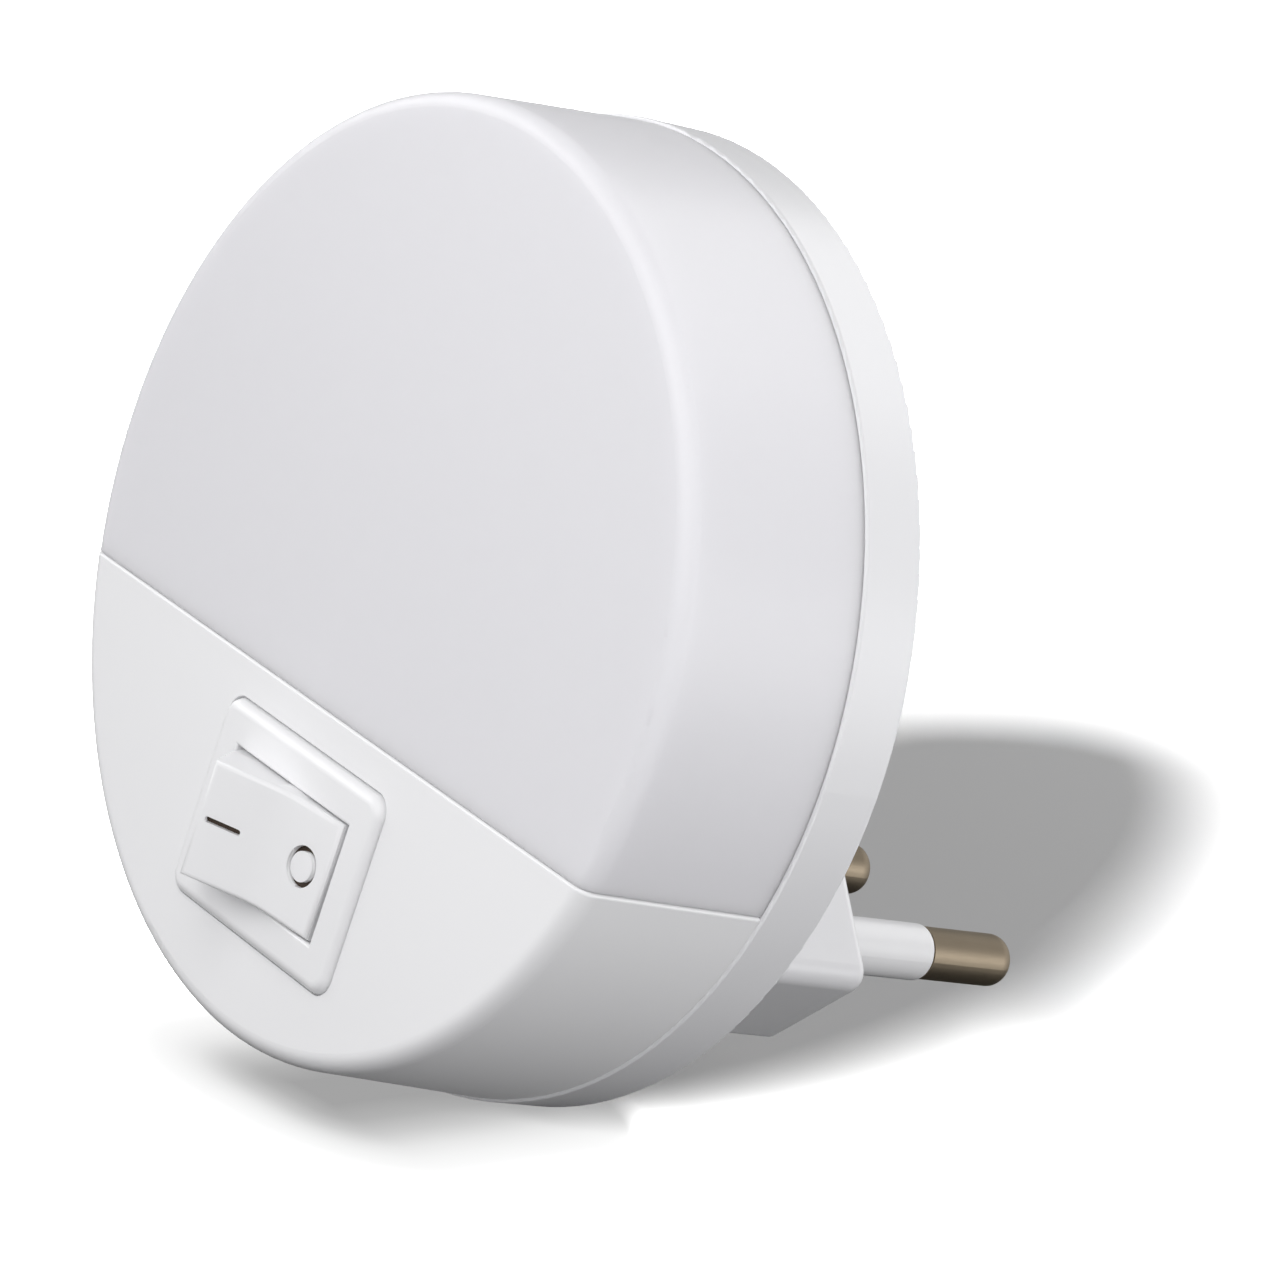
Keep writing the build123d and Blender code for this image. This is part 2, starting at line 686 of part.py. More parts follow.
def lead(*points):
    path = FilletPolyline(*points, radius=lead_bend)
    return sweep(Plane(path @ 0, z_dir=path % 0) * Circle(lead_diameter / 2), path=path)


def tail_end(side):
    # Centre of a pin's wire tail end.
    reach = plug_end_wall + pin_head_thickness + pin_tail_length
    turn = math.radians(pin_lean)
    return (side * (pin_spacing / 2 + reach * math.sin(turn)), -reach * math.cos(turn), 0)


def live_lead():
    start = tail_end(1)
    blade_end = bezel_front + switch_depth + blade_length
    third = (start[1] - blade_end) / 3
    return lead(start, (start[0], start[1] - third, 0),
                (load_blade_offset, blade_end + third, switch_height),
                (load_blade_offset, blade_end, switch_height))


def lamp_lead():
    # Runs midway between the switch and the back plate, then up to the board.
    x, z = on_board(lamp_lead_place)
    y = (bezel_front + switch_depth + plate_inside) / 2
    top = switch_height + blade_width / 2
    return lead((0, y, top), (0, y, top + lamp_rise), (x, y, z - lamp_turn), (x, y, z), (x, board_rear, z))


def neutral_lead():
    x, z = on_board(neutral_lead_place)
    y = plate_inside - lead_clear
    start = tail_end(-1)
    return lead(start, (start[0], y, 0), (x, y, z - neutral_turn), (x, y, z), (x, board_rear, z))


pieces = {
    "back_plate": back_plate(),
    "front_cover": front_cover(),
    "diffuser": diffuser(),
    "plug_pin_left": pin_place(-1) * plug_pin(),
    "plug_pin_right": pin_place(1) * plug_pin(),
    "pin_sleeve_left": pin_place(-1) * pin_sleeve(),
    "pin_sleeve_right": pin_place(1) * pin_sleeve(),
    "pin_retainer": pin_retainer(),
    "switch_housing": switch_housing(),
    "rocker": rocker(),
    "rocker_plunger": rocker_plunger(),
    "plunger_spring": plunger_spring(),
    "contact_lever": contact_lever(),
    "common_terminal": common_terminal(),
    "load_terminal": load_terminal(),
    "circuit_board": circuit_board(),
    "dropper_capacitor": dropper_capacitor(),
    "smoothing_capacitor": smoothing_capacitor(),
    "bridge_rectifier": bridge_rectifier(),
    "fuse_resistor": axial_resistor(fuse_place),
    "discharge_resistor": axial_resistor(discharge_place),
    "live_lead": live_lead(),
    "lamp_lead": lamp_lead(),
    "neutral_lead": neutral_lead(),
}

retainer_front = -plug_end_wall - pin_head_thickness - retainer_thickness
pieces["retainer_screw"] = Pos(0, retainer_front, 0) * Rot(0, 0, 180) * screw(retainer_screw_length)
pieces["cover_screws"] = Compound(children=[
    Pos(cover_spot(side)[0], cover_seat(), cover_spot(side)[1]) * screw(cover_screw_length)
    for side in (-1, 1)])
pieces["board_screws"] = Compound(children=[
    Pos(side * post_offset, board_front, board_centre) * Rot(0, 0, 180) * screw(board_screw_length)
    for side in (-1, 1)])
corners = [(-1, -1), (1, -1), (-1, 1), (1, 1)]
for count, (across, up) in enumerate(corners, 1):
    pieces[f"led_{count}"] = led(across * led_spacing_x / 2, board_centre + up * led_spacing_z / 2)

os.makedirs("parts", exist_ok=True)
for name, piece in pieces.items():
    export_step(piece, f"parts/{name}.step")
    print(name, round(piece.volume, 2))
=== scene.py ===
import math

import bmesh
import bpy
from mathutils import Matrix, Vector


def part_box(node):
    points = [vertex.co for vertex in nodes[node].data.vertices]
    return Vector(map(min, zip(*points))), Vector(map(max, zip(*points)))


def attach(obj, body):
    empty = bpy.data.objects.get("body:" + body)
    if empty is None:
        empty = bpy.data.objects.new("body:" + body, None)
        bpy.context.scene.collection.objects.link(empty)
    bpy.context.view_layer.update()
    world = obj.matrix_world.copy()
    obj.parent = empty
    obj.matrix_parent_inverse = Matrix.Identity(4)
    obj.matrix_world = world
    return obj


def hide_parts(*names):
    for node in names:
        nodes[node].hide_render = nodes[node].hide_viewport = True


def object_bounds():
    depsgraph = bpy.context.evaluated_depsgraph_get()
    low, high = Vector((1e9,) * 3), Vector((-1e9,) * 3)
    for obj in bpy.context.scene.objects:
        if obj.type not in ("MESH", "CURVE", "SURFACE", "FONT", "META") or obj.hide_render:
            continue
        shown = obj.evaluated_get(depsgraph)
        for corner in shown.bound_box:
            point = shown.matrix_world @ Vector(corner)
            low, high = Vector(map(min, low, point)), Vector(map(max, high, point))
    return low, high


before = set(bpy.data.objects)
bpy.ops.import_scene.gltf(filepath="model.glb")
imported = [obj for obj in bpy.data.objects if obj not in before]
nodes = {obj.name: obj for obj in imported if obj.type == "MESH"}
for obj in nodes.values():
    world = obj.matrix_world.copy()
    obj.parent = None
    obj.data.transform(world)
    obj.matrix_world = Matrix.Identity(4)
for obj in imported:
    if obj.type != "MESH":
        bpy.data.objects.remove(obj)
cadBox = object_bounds()
scene = bpy.context.scene
mm = 0.001
print("loaded", len(nodes), "nodes of the night light")


# small helpers for node trees
def newShader(name, colour, roughness, metallic=0.0):
    material = bpy.data.materials.new(name)
    material.use_nodes = True
    shader = material.node_tree.nodes["Principled BSDF"]
    shader.inputs["Base Color"].default_value = (*colour, 1.0)
    shader.inputs["Roughness"].default_value = roughness
    shader.inputs["Metallic"].default_value = metallic
    return material, shader


def clouds(tree, size, detail=3.0, stretch=(1.0, 1.0, 1.0)):
    place = tree.nodes.new("ShaderNodeTexCoord")
    mapping = tree.nodes.new("ShaderNodeMapping")
    mapping.inputs["Scale"].default_value = stretch
    noise = tree.nodes.new("ShaderNodeTexNoise")
    noise.inputs["Scale"].default_value = 1.0 / (size * mm)  # about one cloud to each size
    noise.inputs["Detail"].default_value = detail
    tree.links.new(place.outputs["Object"], mapping.inputs["Vector"])
    tree.links.new(mapping.outputs["Vector"], noise.inputs["Vector"])
    return noise.outputs["Fac"]


def spread(tree, source, low, high):
    rangeNode = tree.nodes.new("ShaderNodeMapRange")
    rangeNode.clamp = False
    rangeNode.inputs["To Min"].default_value = low
    rangeNode.inputs["To Max"].default_value = high
    tree.links.new(source, rangeNode.inputs["Value"])
    return rangeNode.outputs["Result"]


def blendColours(tree, factor, first, second):
    mix = tree.nodes.new("ShaderNodeMix")
    mix.data_type = "RGBA"
    mix.inputs["A"].default_value = (*first, 1.0)
    mix.inputs["B"].default_value = (*second, 1.0)
    tree.links.new(factor, mix.inputs["Factor"])
    return mix.outputs["Result"]


def roughen(tree, shader, height, depth):
    bump = tree.nodes.new("ShaderNodeBump")
    bump.inputs["Strength"].default_value = 1.0
    bump.inputs["Distance"].default_value = depth * mm
    tree.links.new(height, bump.inputs["Height"])
    tree.links.new(bump.outputs["Normal"], shader.inputs["Normal"])


def fillRamp(ramp, stops):
    elements = ramp.color_ramp.elements
    for position, colour in stops:
        ends = {0.0: elements[0], 1.0: elements[len(elements) - 1]}
        element = ends.get(position) or elements.new(position)
        element.color = (*colour, 1.0)


# plastics take colour, gloss, grain and glow from a look, metals take streaks instead of the glow
plasticNoise = {"mottleDetail": 1.0, "glossGrains": 8.0}  # a patch of gloss is this many grains wide
metalNoise = {"streakDetail": 4.0}


def mouldedPlastic(name, look):
    material, shader = newShader(name, look["colour"], look["gloss"][0])
    tree = material.node_tree
    mottle = clouds(tree, look["mottle"], plasticNoise["mottleDetail"])
    gloss = spread(tree, clouds(tree, look["grain"] * plasticNoise["glossGrains"]), *look["gloss"])
    tree.links.new(blendColours(tree, mottle, look["colour"], look["shade"]), shader.inputs["Base Color"])
    tree.links.new(gloss, shader.inputs["Roughness"])
    roughen(tree, shader, clouds(tree, look["grain"]), look["depth"])
    shader.inputs["Subsurface Weight"].default_value = look["glow"]
    shader.inputs["Subsurface Radius"].default_value = (1.0, 1.0, 1.0)
    shader.inputs["Subsurface Scale"].default_value = look["glowDepth"] * mm
    shader.inputs["Specular IOR Level"].default_value = look["shine"]
    return material


def drawnMetal(name, look):
    material, shader = newShader(name, look["colour"], look["gloss"][0], 1.0)
    tree = material.node_tree
    streaks = clouds(tree, look["grain"], metalNoise["streakDetail"], look["stretch"])
    mottle = clouds(tree, look["mottle"])
    tree.links.new(blendColours(tree, mottle, look["colour"], look["shade"]), shader.inputs["Base Color"])
    tree.links.new(spread(tree, streaks, *look["gloss"]), shader.inputs["Roughness"])
    roughen(tree, shader, streaks, look["depth"])
    return material


def paint(material, *names):
    for name in names:
        piece = nodes[name]
        piece.data.materials.clear()
        piece.data.materials.append(material)


# outer shells
shellLook = {"colour": (0.795, 0.795, 0.81), "shade": (0.787, 0.787, 0.802), "mottle": 26.0,
             "gloss": (0.30, 0.36), "grain": 0.6, "depth": 0.0012,
             "glow": 0.12, "glowDepth": 1.0, "shine": 0.5}
coverLook = {**shellLook, "colour": (0.87, 0.87, 0.88), "shade": (0.862, 0.862, 0.872)}
opalLook = {"colour": (0.725, 0.72, 0.745), "shade": (0.716, 0.712, 0.737), "mottle": 34.0,
            "gloss": (0.30, 0.36), "grain": 0.7, "depth": 0.001,
            "glow": 0.6, "glowDepth": 2.5, "shine": 0.2}
sleeveLook = {"colour": (0.89, 0.89, 0.90), "shade": (0.87, 0.87, 0.88), "mottle": 4.0,
              "gloss": (0.32, 0.42), "grain": 0.5, "depth": 0.001,
              "glow": 0.1, "glowDepth": 0.6, "shine": 0.5}
switchLook = {"colour": (0.865, 0.865, 0.875), "shade": (0.85, 0.85, 0.86), "mottle": 5.0,
              "gloss": (0.30, 0.36), "grain": 0.5, "depth": 0.001,
              "glow": 0.1, "glowDepth": 0.8, "shine": 0.5}
switchWhite = mouldedPlastic("switchWhite", switchLook)
paint(mouldedPlastic("whiteShell", shellLook), "back_plate")
paint(mouldedPlastic("whiteCover", coverLook), "front_cover")
paint(mouldedPlastic("opalDiffuser", opalLook), "diffuser")
paint(mouldedPlastic("whiteSleeve", sleeveLook), "pin_sleeve_left", "pin_sleeve_right")
paint(switchWhite, "switch_housing", "rocker")
print("shells, sleeves and switch are finished")


# metal pieces
pinLook = {"colour": (0.375, 0.31, 0.227), "shade": (0.325, 0.27, 0.198), "mottle": 3.0,
           "gloss": (0.46, 0.56), "grain": 0.12, "stretch": (1.0, 0.08, 1.0), "depth": 0.004}
screwLook = {"colour": (0.62, 0.63, 0.64), "shade": (0.52, 0.53, 0.54), "mottle": 1.5,
             "gloss": (0.29, 0.42), "grain": 0.1, "stretch": (1.0, 1.0, 1.0), "depth": 0.004}
contactLook = {"colour": (0.72, 0.52, 0.22), "shade": (0.62, 0.43, 0.18), "mottle": 2.0,
               "gloss": (0.29, 0.40), "grain": 0.1, "stretch": (0.1, 1.0, 1.0), "depth": 0.003}
springLook = {"colour": (0.50, 0.51, 0.53), "shade": (0.40, 0.41, 0.43), "mottle": 0.8,
              "gloss": (0.29, 0.38), "grain": 0.08, "stretch": (1.0, 1.0, 1.0), "depth": 0.002}
zincScrew = drawnMetal("zincScrew", screwLook)
paint(drawnMetal("platedBrass", pinLook), "plug_pin_left", "plug_pin_right")
paint(zincScrew, "retainer_screw", "cover_screws", "board_screws")
paint(drawnMetal("contactBrass", contactLook), "contact_lever", "common_terminal", "load_terminal")
paint(drawnMetal("springSteel", springLook), "plunger_spring")
print("metal pieces are finished")


# pieces inside the housing
opaque = {"glow": 0.0, "glowDepth": 0.5, "shine": 0.5}
insideLooks = {
    "innerPlastic": {**opaque, "colour": (0.74, 0.74, 0.71), "shade": (0.70, 0.70, 0.67), "mottle": 3.0,
                     "gloss": (0.42, 0.55), "grain": 0.15, "depth": 0.004,
                     "pieces": ("pin_retainer", "rocker_plunger")},
    "boardWhite": {**opaque, "colour": (0.80, 0.82, 0.78), "shade": (0.74, 0.77, 0.72), "mottle": 1.2,
                   "gloss": (0.30, 0.42), "grain": 0.4, "depth": 0.005, "pieces": ("circuit_board",)},
    "ledPackage": {"colour": (0.86, 0.72, 0.26), "shade": (0.80, 0.64, 0.20), "mottle": 0.6,
                   "gloss": (0.30, 0.45), "grain": 0.1, "depth": 0.003, "glow": 0.1, "glowDepth": 0.3,
                   "shine": 0.5, "pieces": ("led_1", "led_2", "led_3", "led_4")},
    "filmCase": {**opaque, "colour": (0.48, 0.03, 0.02), "shade": (0.40, 0.02, 0.015), "mottle": 2.0,
                 "gloss": (0.30, 0.42), "grain": 0.2, "depth": 0.004, "pieces": ("dropper_capacitor",)},
    "canSleeve": {**opaque, "colour": (0.010, 0.012, 0.022), "shade": (0.016, 0.018, 0.03), "mottle": 2.0,
                  "gloss": (0.29, 0.38), "grain": 0.3, "depth": 0.003, "pieces": ("smoothing_capacitor",)},
    "blackCase": {**opaque, "colour": (0.012, 0.012, 0.012), "shade": (0.02, 0.02, 0.02), "mottle": 1.0,
                  "gloss": (0.45, 0.6), "grain": 0.12, "depth": 0.006, "pieces": ("bridge_rectifier",)},
    "resistorCoat": {**opaque, "colour": (0.10, 0.24, 0.34), "shade": (0.08, 0.20, 0.29), "mottle": 1.0,
                     "gloss": (0.29, 0.40), "grain": 0.2, "depth": 0.004,
                     "pieces": ("fuse_resistor", "discharge_resistor")},
    "leadBrown": {**opaque, "colour": (0.10, 0.035, 0.015), "shade": (0.08, 0.028, 0.012), "mottle": 2.0,
                  "gloss": (0.32, 0.45), "grain": 0.3, "depth": 0.004, "pieces": ("live_lead", "lamp_lead")},
    "leadBlue": {**opaque, "colour": (0.015, 0.06, 0.32), "shade": (0.012, 0.05, 0.26), "mottle": 2.0,
                 "gloss": (0.32, 0.45), "grain": 0.3, "depth": 0.004, "pieces": ("neutral_lead",)},
}
for name, look in insideLooks.items():
    paint(mouldedPlastic(name, look), *look["pieces"])
print("inside pieces are finished")


# cutting shapes out of a copy of a node
cutting = {"weld": 0.002, "sharpAngle": 35.0}


def copyOfNode(node, name):
    mesh = nodes[node].data.copy()
    mesh.name = name
    shape = bmesh.new()
    shape.from_mesh(mesh)
    bmesh.ops.remove_doubles(shape, verts=shape.verts, dist=cutting["weld"] * mm)
    shape.to_mesh(mesh)
    shape.free()
    piece = bpy.data.objects.new(name, mesh)
    scene.collection.objects.link(piece)
    return piece


def prism(name, outlines, place, along, out, depth, wallPaint, endPaint):
    # a cutter with one outline, or with an outer and an inner one, and its own paint on the end faces
    across = out.cross(along)
    shape = bmesh.new()
    rings = []
    for outline in outlines:
        for side in (-depth, depth):
            level = [place + (along * u + across * v + out * side) * mm for u, v in outline]
            rings.append([shape.verts.new(corner) for corner in level])

    def band(first, second, paintSlot):
        for i in range(len(first)):
            j = (i + 1) % len(first)
            face = shape.faces.new((first[i], first[j], second[j], second[i]))
            face.material_index = paintSlot

    band(rings[0], rings[1], 0)
    if len(outlines) == 2:
        band(rings[3], rings[2], 0)
        band(rings[1], rings[3], 1)
        band(rings[2], rings[0], 1)
    else:
        shape.faces.new(list(reversed(rings[0]))).material_index = 1
        shape.faces.new(rings[1]).material_index = 1
    bmesh.ops.recalc_face_normals(shape, faces=shape.faces)
    mesh = bpy.data.meshes.new(name)
    shape.to_mesh(mesh)
    shape.free()
    mesh.materials.append(wallPaint)
    mesh.materials.append(endPaint)
    cutter = bpy.data.objects.new(name, mesh)
    scene.collection.objects.link(cutter)
    return cutter


def cutAway(piece, cutters):
    for cutter in cutters:
        step = piece.modifiers.new(cutter.name, "BOOLEAN")
        step.operation = "DIFFERENCE"
        step.solver = "EXACT"
        step.material_mode = "TRANSFER"
        step.object = cutter
    bpy.context.view_layer.update()
    cut = bpy.data.meshes.new_from_object(piece.evaluated_get(bpy.context.evaluated_depsgraph_get()))
    piece.modifiers.clear()
    piece.data = cut
    for cutter in cutters:
        bpy.data.objects.remove(cutter)
    cut.shade_smooth()
    cut.set_sharp_from_angle(angle=math.radians(cutting["sharpAngle"]))
    flats = piece.modifiers.new("flats", "WEIGHTED_NORMAL")  # keeps the flats flat beside their rounded edges
    flats.keep_sharp = True


def ringOf(radius, count=40):
    angles = [math.tau * i / count for i in range(count)]
    return [(radius * math.cos(a), radius * math.sin(a)) for a in angles]


def barOf(length, width, count=8):
    half, end = length / 2 - width / 2, width / 2
    angles = [-math.pi / 2 + math.pi * i / count for i in range(count + 1)]
    right = [(half + end * math.cos(a), end * math.sin(a)) for a in angles]
    return right + [(-u, -v) for u, v in right]


# rocker with its two cut marks, lying on the two flats of the button
rockerButton = {"name": "rockerButton", "pivot": (0.0, -40.10, -0.80), "leftCrest": (-3.832, -6.479),
                "valley": (1.211, -3.327), "rightCrest": (7.10, -2.499), "markDepth": 0.45, "markLift": 0.13,
                "barFromCrest": 2.0, "barLength": 2.9, "barWidth": 0.42,
                "ringFromCrest": 2.5, "ringOuter": 1.5, "ringInner": 1.1}
# the groove bottoms take a near-black colour: painted shade deep inside the narrow cut marks
grooveShadowLook = {"colour": (0.040, 0.026, 0.018), "shade": (0.065, 0.042, 0.028), "mottle": 0.6,
            "gloss": (0.5, 0.65), "grain": 0.1, "depth": 0.003,
            "glow": 0.0, "glowDepth": 0.5, "shine": 0.3}
grooveShadowPaint = mouldedPlastic("grooveShadowPaint", grooveShadowLook)


def onFlat(first, second, distance):
    start, end = (Vector((*corner, rockerButton["markLift"])) for corner in (first, second))
    along = (end - start).normalized()
    out = Vector((along.y, -along.x, 0.0))
    place = (Vector(rockerButton["pivot"]) + start + along * distance) * mm
    return place, along, out


rocker = copyOfNode("rocker", rockerButton["name"])
flatLength = (Vector(rockerButton["rightCrest"]) - Vector(rockerButton["valley"])).length
barSpot = onFlat(rockerButton["leftCrest"], rockerButton["valley"], rockerButton["barFromCrest"])
ringSpot = onFlat(rockerButton["valley"], rockerButton["rightCrest"],
                  flatLength - rockerButton["ringFromCrest"])
barOutlines = [barOf(rockerButton["barLength"], rockerButton["barWidth"])]
ringOutlines = [ringOf(rockerButton["ringOuter"]), ringOf(rockerButton["ringInner"])]
barCut = prism("barCut", barOutlines, *barSpot, rockerButton["markDepth"], switchWhite, grooveShadowPaint)
ringCut = prism("ringCut", ringOutlines, *ringSpot, rockerButton["markDepth"], switchWhite, grooveShadowPaint)
cutAway(rocker, [barCut, ringCut])
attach(rocker, "rocker")
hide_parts("rocker")
print("rocker has its marks:", len(rocker.data.polygons), "faces")


# rear screws with cross recesses
rearScrews = {"name": "rearScrews", "headRadius": 2.5, "crossLength": 2.7, "crossWidth": 0.62,
              "crossDepth": 0.9, "endFaces": 3}
screws = copyOfNode("cover_screws", rearScrews["name"])
low, high = (Vector(corner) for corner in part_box("cover_screws"))
slotOutline = barOf(rearScrews["crossLength"], rearScrews["crossWidth"], rearScrews["endFaces"])
crosses = []
for side in (-1, 1):
    top = Vector((side * (high.x - rearScrews["headRadius"] * mm), high.y, (low.z + high.z) / 2))
    for along in (Vector((1, 0, 1)).normalized(), Vector((1, 0, -1)).normalized()):
        crosses.append(prism(f"cross{len(crosses)}", [slotOutline], top, along, Vector((0, 1, 0)),
                             rearScrews["crossDepth"], zincScrew, zincScrew))
cutAway(screws, crosses)
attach(screws, "housing")
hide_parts("cover_screws")
print("rear screws have their recesses:", len(screws.data.polygons), "faces")


# floor
floorLook = {"size": 9.0, "colour": (0.62, 0.62, 0.62), "roughness": 0.9, "shine": 0.0}
floorHeight = cadBox[0][2]
bpy.ops.mesh.primitive_plane_add(size=floorLook["size"], location=(0.0, 0.0, floorHeight))
floor = bpy.context.object
floor.name = "floor"
floorPaint, floorShader = newShader("paleFloor", floorLook["colour"], floorLook["roughness"])
floorShader.inputs["Specular IOR Level"].default_value = floorLook["shine"]
floor.data.materials.append(floorPaint)
floor.visible_diffuse = False  # the room's own lower half lights the object from below
floor.visible_glossy = False

# dark card for the floor in its own shade, as the plug sees it
shadeCard = {"low": (-60.0, -20.0), "high": (110.0, 92.0), "drop": 0.3, "colour": (0.05, 0.05, 0.05)}
(west, south), (east, north) = shadeCard["low"], shadeCard["high"]
cardHeight = floorHeight - shadeCard["drop"] * mm
cardCorners = [(x * mm, y * mm, cardHeight)
               for x, y in ((west, south), (east, south), (east, north), (west, north))]
cardMesh = bpy.data.meshes.new("shadeCard")
cardMesh.from_pydata(cardCorners, [], [(0, 1, 2, 3)])
cardMesh.materials.append(newShader("shadeCard", shadeCard["colour"], floorLook["roughness"])[0])
card = bpy.data.objects.new("shadeCard", cardMesh)
scene.collection.objects.link(card)
card.visible_camera = False
card.visible_shadow = False

# soft shade in front of the foot: a grey core that clears over the soft margin around it
footShade = {"name": "footShade", "middle": (5.2, -29.8), "turn": 19.8, "core": (1.85, 9.2), "soft": 14.2,
             "lift": 0.05, "tone": 0.37,
             "cover": ((0.0, 1.0), (0.18, 0.975), (0.34, 0.93), (0.5, 0.868), (0.62, 0.838), (0.74, 0.82),
                       (0.8, 0.8), (1.0, 0.0))}
bpy.ops.mesh.primitive_plane_add(size=2.0)
patch = bpy.context.object
patch.name = footShade["name"]
for corner in patch.data.vertices:
    for axis, half in enumerate(footShade["core"]):
        corner.co[axis] *= (half + footShade["soft"]) * mm
patch.location = (*(part * mm for part in footShade["middle"]), floorHeight + footShade["lift"] * mm)
patch.rotation_euler.z = math.radians(footShade["turn"])
shadePaint = bpy.data.materials.new(footShade["name"])
shadePaint.use_nodes = True
shadeTree = shadePaint.node_tree
shadeTree.nodes.remove(shadeTree.nodes["Principled BSDF"])
fromCore = shadeTree.nodes.new("ShaderNodeTexCoord").outputs["Object"]
nothing = (0.0, 0.0)
for operation, other in (("ABSOLUTE", nothing), ("SUBTRACT", footShade["core"]), ("MAXIMUM", nothing)):
    vector = shadeTree.nodes.new("ShaderNodeVectorMath")
    vector.operation = operation
    vector.inputs[1].default_value = (other[0] * mm, other[1] * mm, 0.0)
    shadeTree.links.new(fromCore, vector.inputs[0])
    fromCore = vector.outputs["Vector"]
distance = shadeTree.nodes.new("ShaderNodeVectorMath")
distance.operation = "LENGTH"
away = shadeTree.nodes.new("ShaderNodeMapRange")
away.inputs["From Max"].default_value = footShade["soft"] * mm
cover = shadeTree.nodes.new("ShaderNodeValToRGB")
fillRamp(cover, [(position, (amount, amount, amount)) for position, amount in footShade["cover"]])
clear = shadeTree.nodes.new("ShaderNodeBsdfTransparent")
tone = shadeTree.nodes.new("ShaderNodeEmission")
tone.inputs["Color"].default_value = (footShade["tone"], footShade["tone"], footShade["tone"], 1.0)
blend = shadeTree.nodes.new("ShaderNodeMixShader")
shadeTree.links.new(fromCore, distance.inputs[0])
shadeTree.links.new(distance.outputs["Value"], away.inputs["Value"])
shadeTree.links.new(away.outputs["Result"], cover.inputs["Fac"])
shadeTree.links.new(cover.outputs["Color"], blend.inputs["Fac"])
shadeTree.links.new(clear.outputs["BSDF"], blend.inputs[1])
shadeTree.links.new(tone.outputs["Emission"], blend.inputs[2])
shadeTree.links.new(blend.outputs["Shader"], shadeTree.nodes["Material Output"].inputs["Surface"])
patch.data.materials.append(shadePaint)
patch.visible_diffuse = False
patch.visible_glossy = False
patch.visible_shadow = False
print("floor is set")


# light tent: brightest near the horizon, dark above and below, and dimmer behind
room = {"strength": 1.04, "colour": (1.0, 1.0, 1.01),
        "heights": (-1.0, -0.75, -0.5, -0.25, 0.0, 0.25, 0.5, 0.75, 1.0),
        "glow": (0.0, 0.06, 0.30, 0.68, 1.0, 0.91, 0.51, 0.06, 0.0),
        "front": (0.862, -0.497, 0.10), "rear": 0.45, "turn": (-0.9, 0.2)}
world = bpy.data.worlds.new("softRoom")
world.use_nodes = True
roomTree = world.node_tree
background = roomTree.nodes["Background"]
direction = roomTree.nodes.new("ShaderNodeTexCoord")
heightOf = roomTree.nodes.new("ShaderNodeSeparateXYZ")
share = roomTree.nodes.new("ShaderNodeMapRange")
share.inputs["From Min"].default_value = -1.0
ramp = roomTree.nodes.new("ShaderNodeValToRGB")
fillRamp(ramp, [((height + 1.0) / 2, [glow * part for part in room["colour"]])
                for height, glow in zip(room["heights"], room["glow"])])
facing = roomTree.nodes.new("ShaderNodeVectorMath")
facing.operation = "DOT_PRODUCT"
facing.inputs[1].default_value = room["front"]
dimming = roomTree.nodes.new("ShaderNodeMapRange")
dimming.interpolation_type = "SMOOTHSTEP"
dimming.inputs["From Min"].default_value, dimming.inputs["From Max"].default_value = room["turn"]
dimming.inputs["To Min"].default_value = room["strength"] * room["rear"]
dimming.inputs["To Max"].default_value = room["strength"]
roomTree.links.new(direction.outputs["Generated"], facing.inputs[0])
roomTree.links.new(facing.outputs["Value"], dimming.inputs["Value"])
roomTree.links.new(dimming.outputs["Result"], background.inputs["Strength"])
roomTree.links.new(direction.outputs["Generated"], heightOf.inputs["Vector"])
roomTree.links.new(heightOf.outputs["Z"], share.inputs["Value"])
roomTree.links.new(share.outputs["Result"], ramp.inputs["Fac"])
roomTree.links.new(ramp.outputs["Color"], background.inputs["Color"])
scene.world = world


# lights that reach chosen pieces, all aimed at the middle of the object
lightMiddle = Vector((0.0, -0.03, 0.02))


def reachOf(name, pieces, state="INCLUDE"):
    group = bpy.data.collections.new(name)
    for piece in pieces:
        group.objects.link(piece)
    for member in group.collection_objects:
        member.light_linking.link_state = state
    return group


def aimed(name, lamp, place, aim, reach, along=(1.0, 0.0, 0.0)):
    holder = bpy.data.objects.new(name, lamp)
    back = (Vector(place) - Vector(aim)).normalized()
    across = back.cross(Vector(along)).normalized()
    turned = Matrix((across.cross(back), across, back)).transposed()
    holder.matrix_world = Matrix.Translation(place) @ turned.to_4x4()
    holder.light_linking.receiver_collection = reach
    holder.visible_camera = False
    scene.collection.objects.link(holder)


def softbox(name, look):
    lamp = bpy.data.lights.new(name, "AREA")
    lamp.shape = "RECTANGLE"
    lamp.size, lamp.size_y = look["size"]
    lamp.energy = look["power"]
    place = lightMiddle + Vector(look["from"]).normalized() * look["distance"]
    aimed(name, lamp, place, lightMiddle, look["reach"], look["along"])


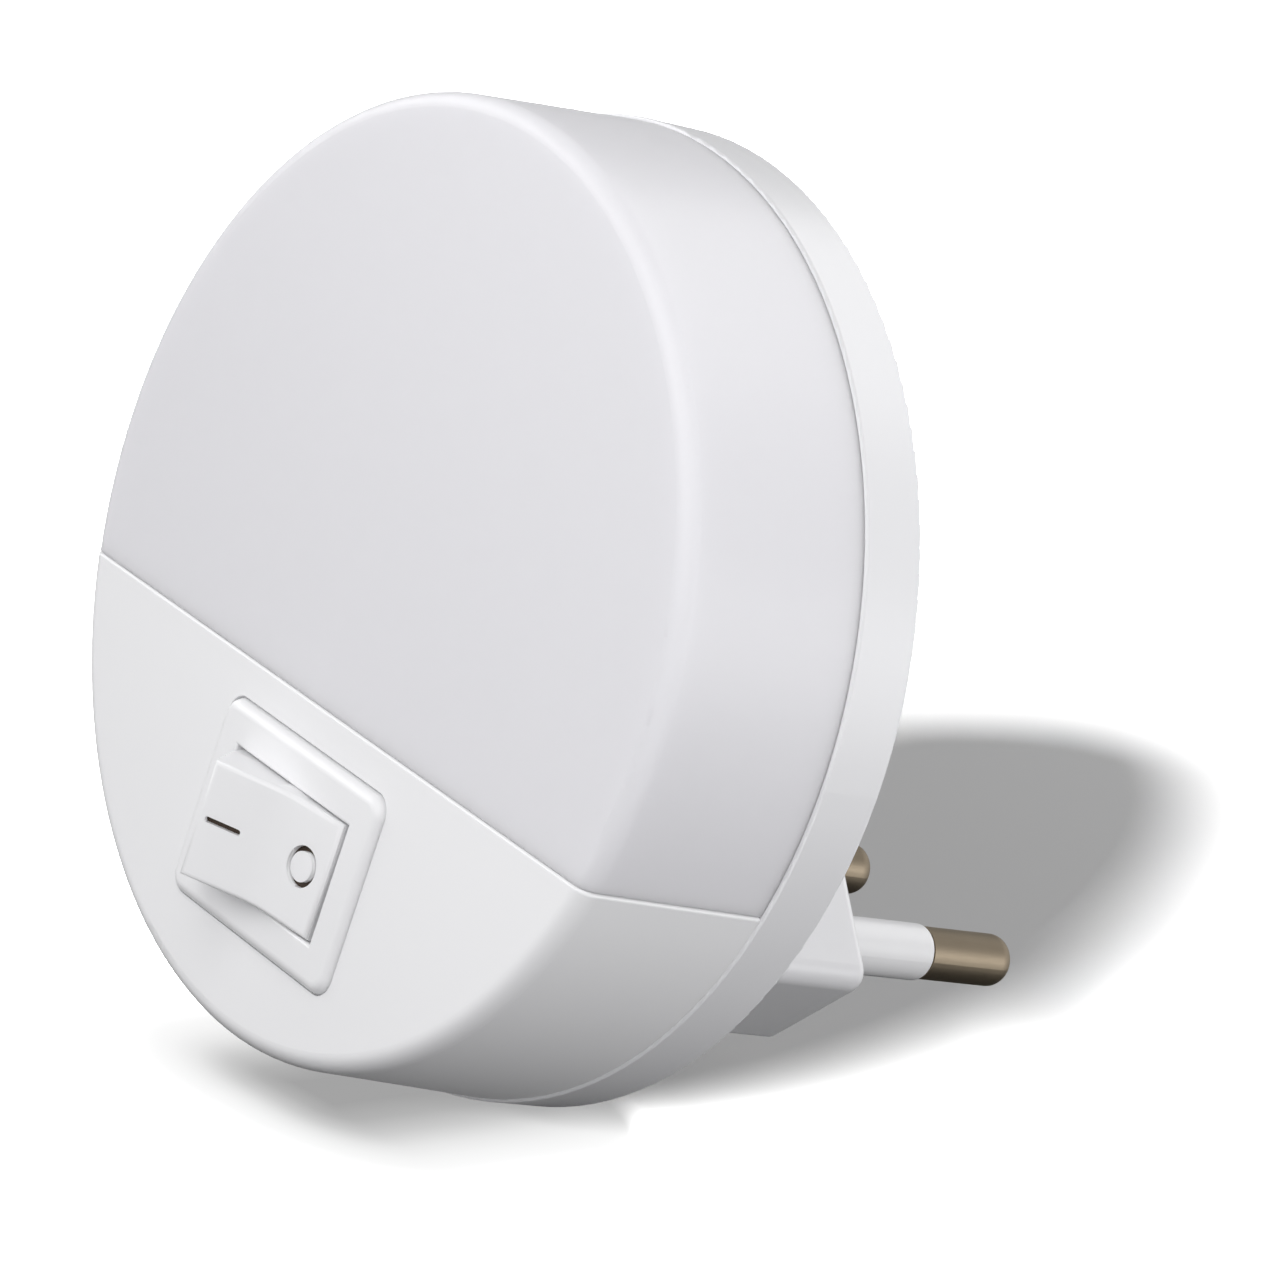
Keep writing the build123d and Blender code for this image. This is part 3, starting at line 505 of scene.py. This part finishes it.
pins = [nodes["plug_pin_left"], nodes["plug_pin_right"]]
paperOnly = reachOf("paperOnly", [floor])
notPaper = reachOf("notPaper", [floor], "EXCLUDE")
notPins = reachOf("notPins", pins, "EXCLUDE")
pinsOnly = reachOf("pinsOnly", pins)
diffuserOnly = reachOf("diffuserOnly", [nodes["diffuser"]])
nearLight = {"size": (0.20, 0.20), "power": 0.25, "from": (0.22, -0.77, 0.60), "distance": 0.20,
             "along": (1.0, 0.0, 0.0), "reach": notPaper}
backLight = {"size": (0.80, 0.80), "power": 4.1, "from": (-0.10, 0.75, 0.65), "distance": 0.90,
             "along": (1.0, 0.0, 0.0), "reach": notPins}
leftLight = {"size": (0.70, 0.40), "power": 2.4, "from": (-0.88, -0.42, 0.28), "distance": 0.90,
             "along": (0.0, 1.0, 0.0), "reach": notPaper}
rightLight = {"size": (0.70, 0.36), "power": 2.3, "from": (0.89, 0.38, 0.22), "distance": 0.90,
              "along": (0.0, 1.0, 0.0), "reach": notPaper}
sideLight = {**rightLight, "power": 1.0, "reach": diffuserOnly}
pinLight = {**backLight, "power": 1.3, "reach": pinsOnly}  # the pins take less from behind
edgeStrip = {"size": (0.24, 0.03), "power": 0.6, "from": (-0.12, -0.85, 0.50), "distance": 0.90,
             "along": (-0.33, 0.14, 0.18), "reach": diffuserOnly}  # the thin gleam along the front edge
softbox("nearLight", nearLight)
softbox("backLight", backLight)
softbox("leftLight", leftLight)
softbox("rightLight", rightLight)
softbox("sideLight", sideLight)
softbox("pinLight", pinLight)
softbox("edgeStrip", edgeStrip)

# low sun that whitens the floor alone and throws the long shadow
paperLight = {"strength": 80.0, "spread": 14.7, "from": (0.514, -0.828, 0.223)}
sun = bpy.data.lights.new("paperLight", "SUN")
sun.energy = paperLight["strength"]
sun.angle = math.radians(paperLight["spread"])
aimed("paperLight", sun, paperLight["from"], (0.0, 0.0, 0.0), paperOnly)
scene.view_settings.view_transform = "Standard"
print("room and lights are set")


# camera at the photograph's viewing angle
lens = {"focal": 161.940, "sensor": 36.0, "place": (312.648, -279.529, 103.579),
        "aim": (7.435, -22.949, 20.087), "roll": 18.824}
cameraData = bpy.data.cameras.new("camera")
cameraData.sensor_width = lens["sensor"]
cameraData.lens = lens["focal"]
camera = bpy.data.objects.new("camera", cameraData)
spot = Vector(lens["place"]) * mm
forward = (Vector(lens["aim"]) * mm - spot).normalized()
level = forward.cross(Vector((0, 0, 1))).normalized()
upright = level.cross(forward)
roll = math.radians(lens["roll"])
right = level * math.cos(roll) + upright * math.sin(roll)
up = right.cross(forward)
camera.matrix_world = Matrix.Translation(spot) @ Matrix((right, up, -forward)).transposed().to_4x4()
scene.collection.objects.link(camera)
scene.camera = camera
print("camera is set")
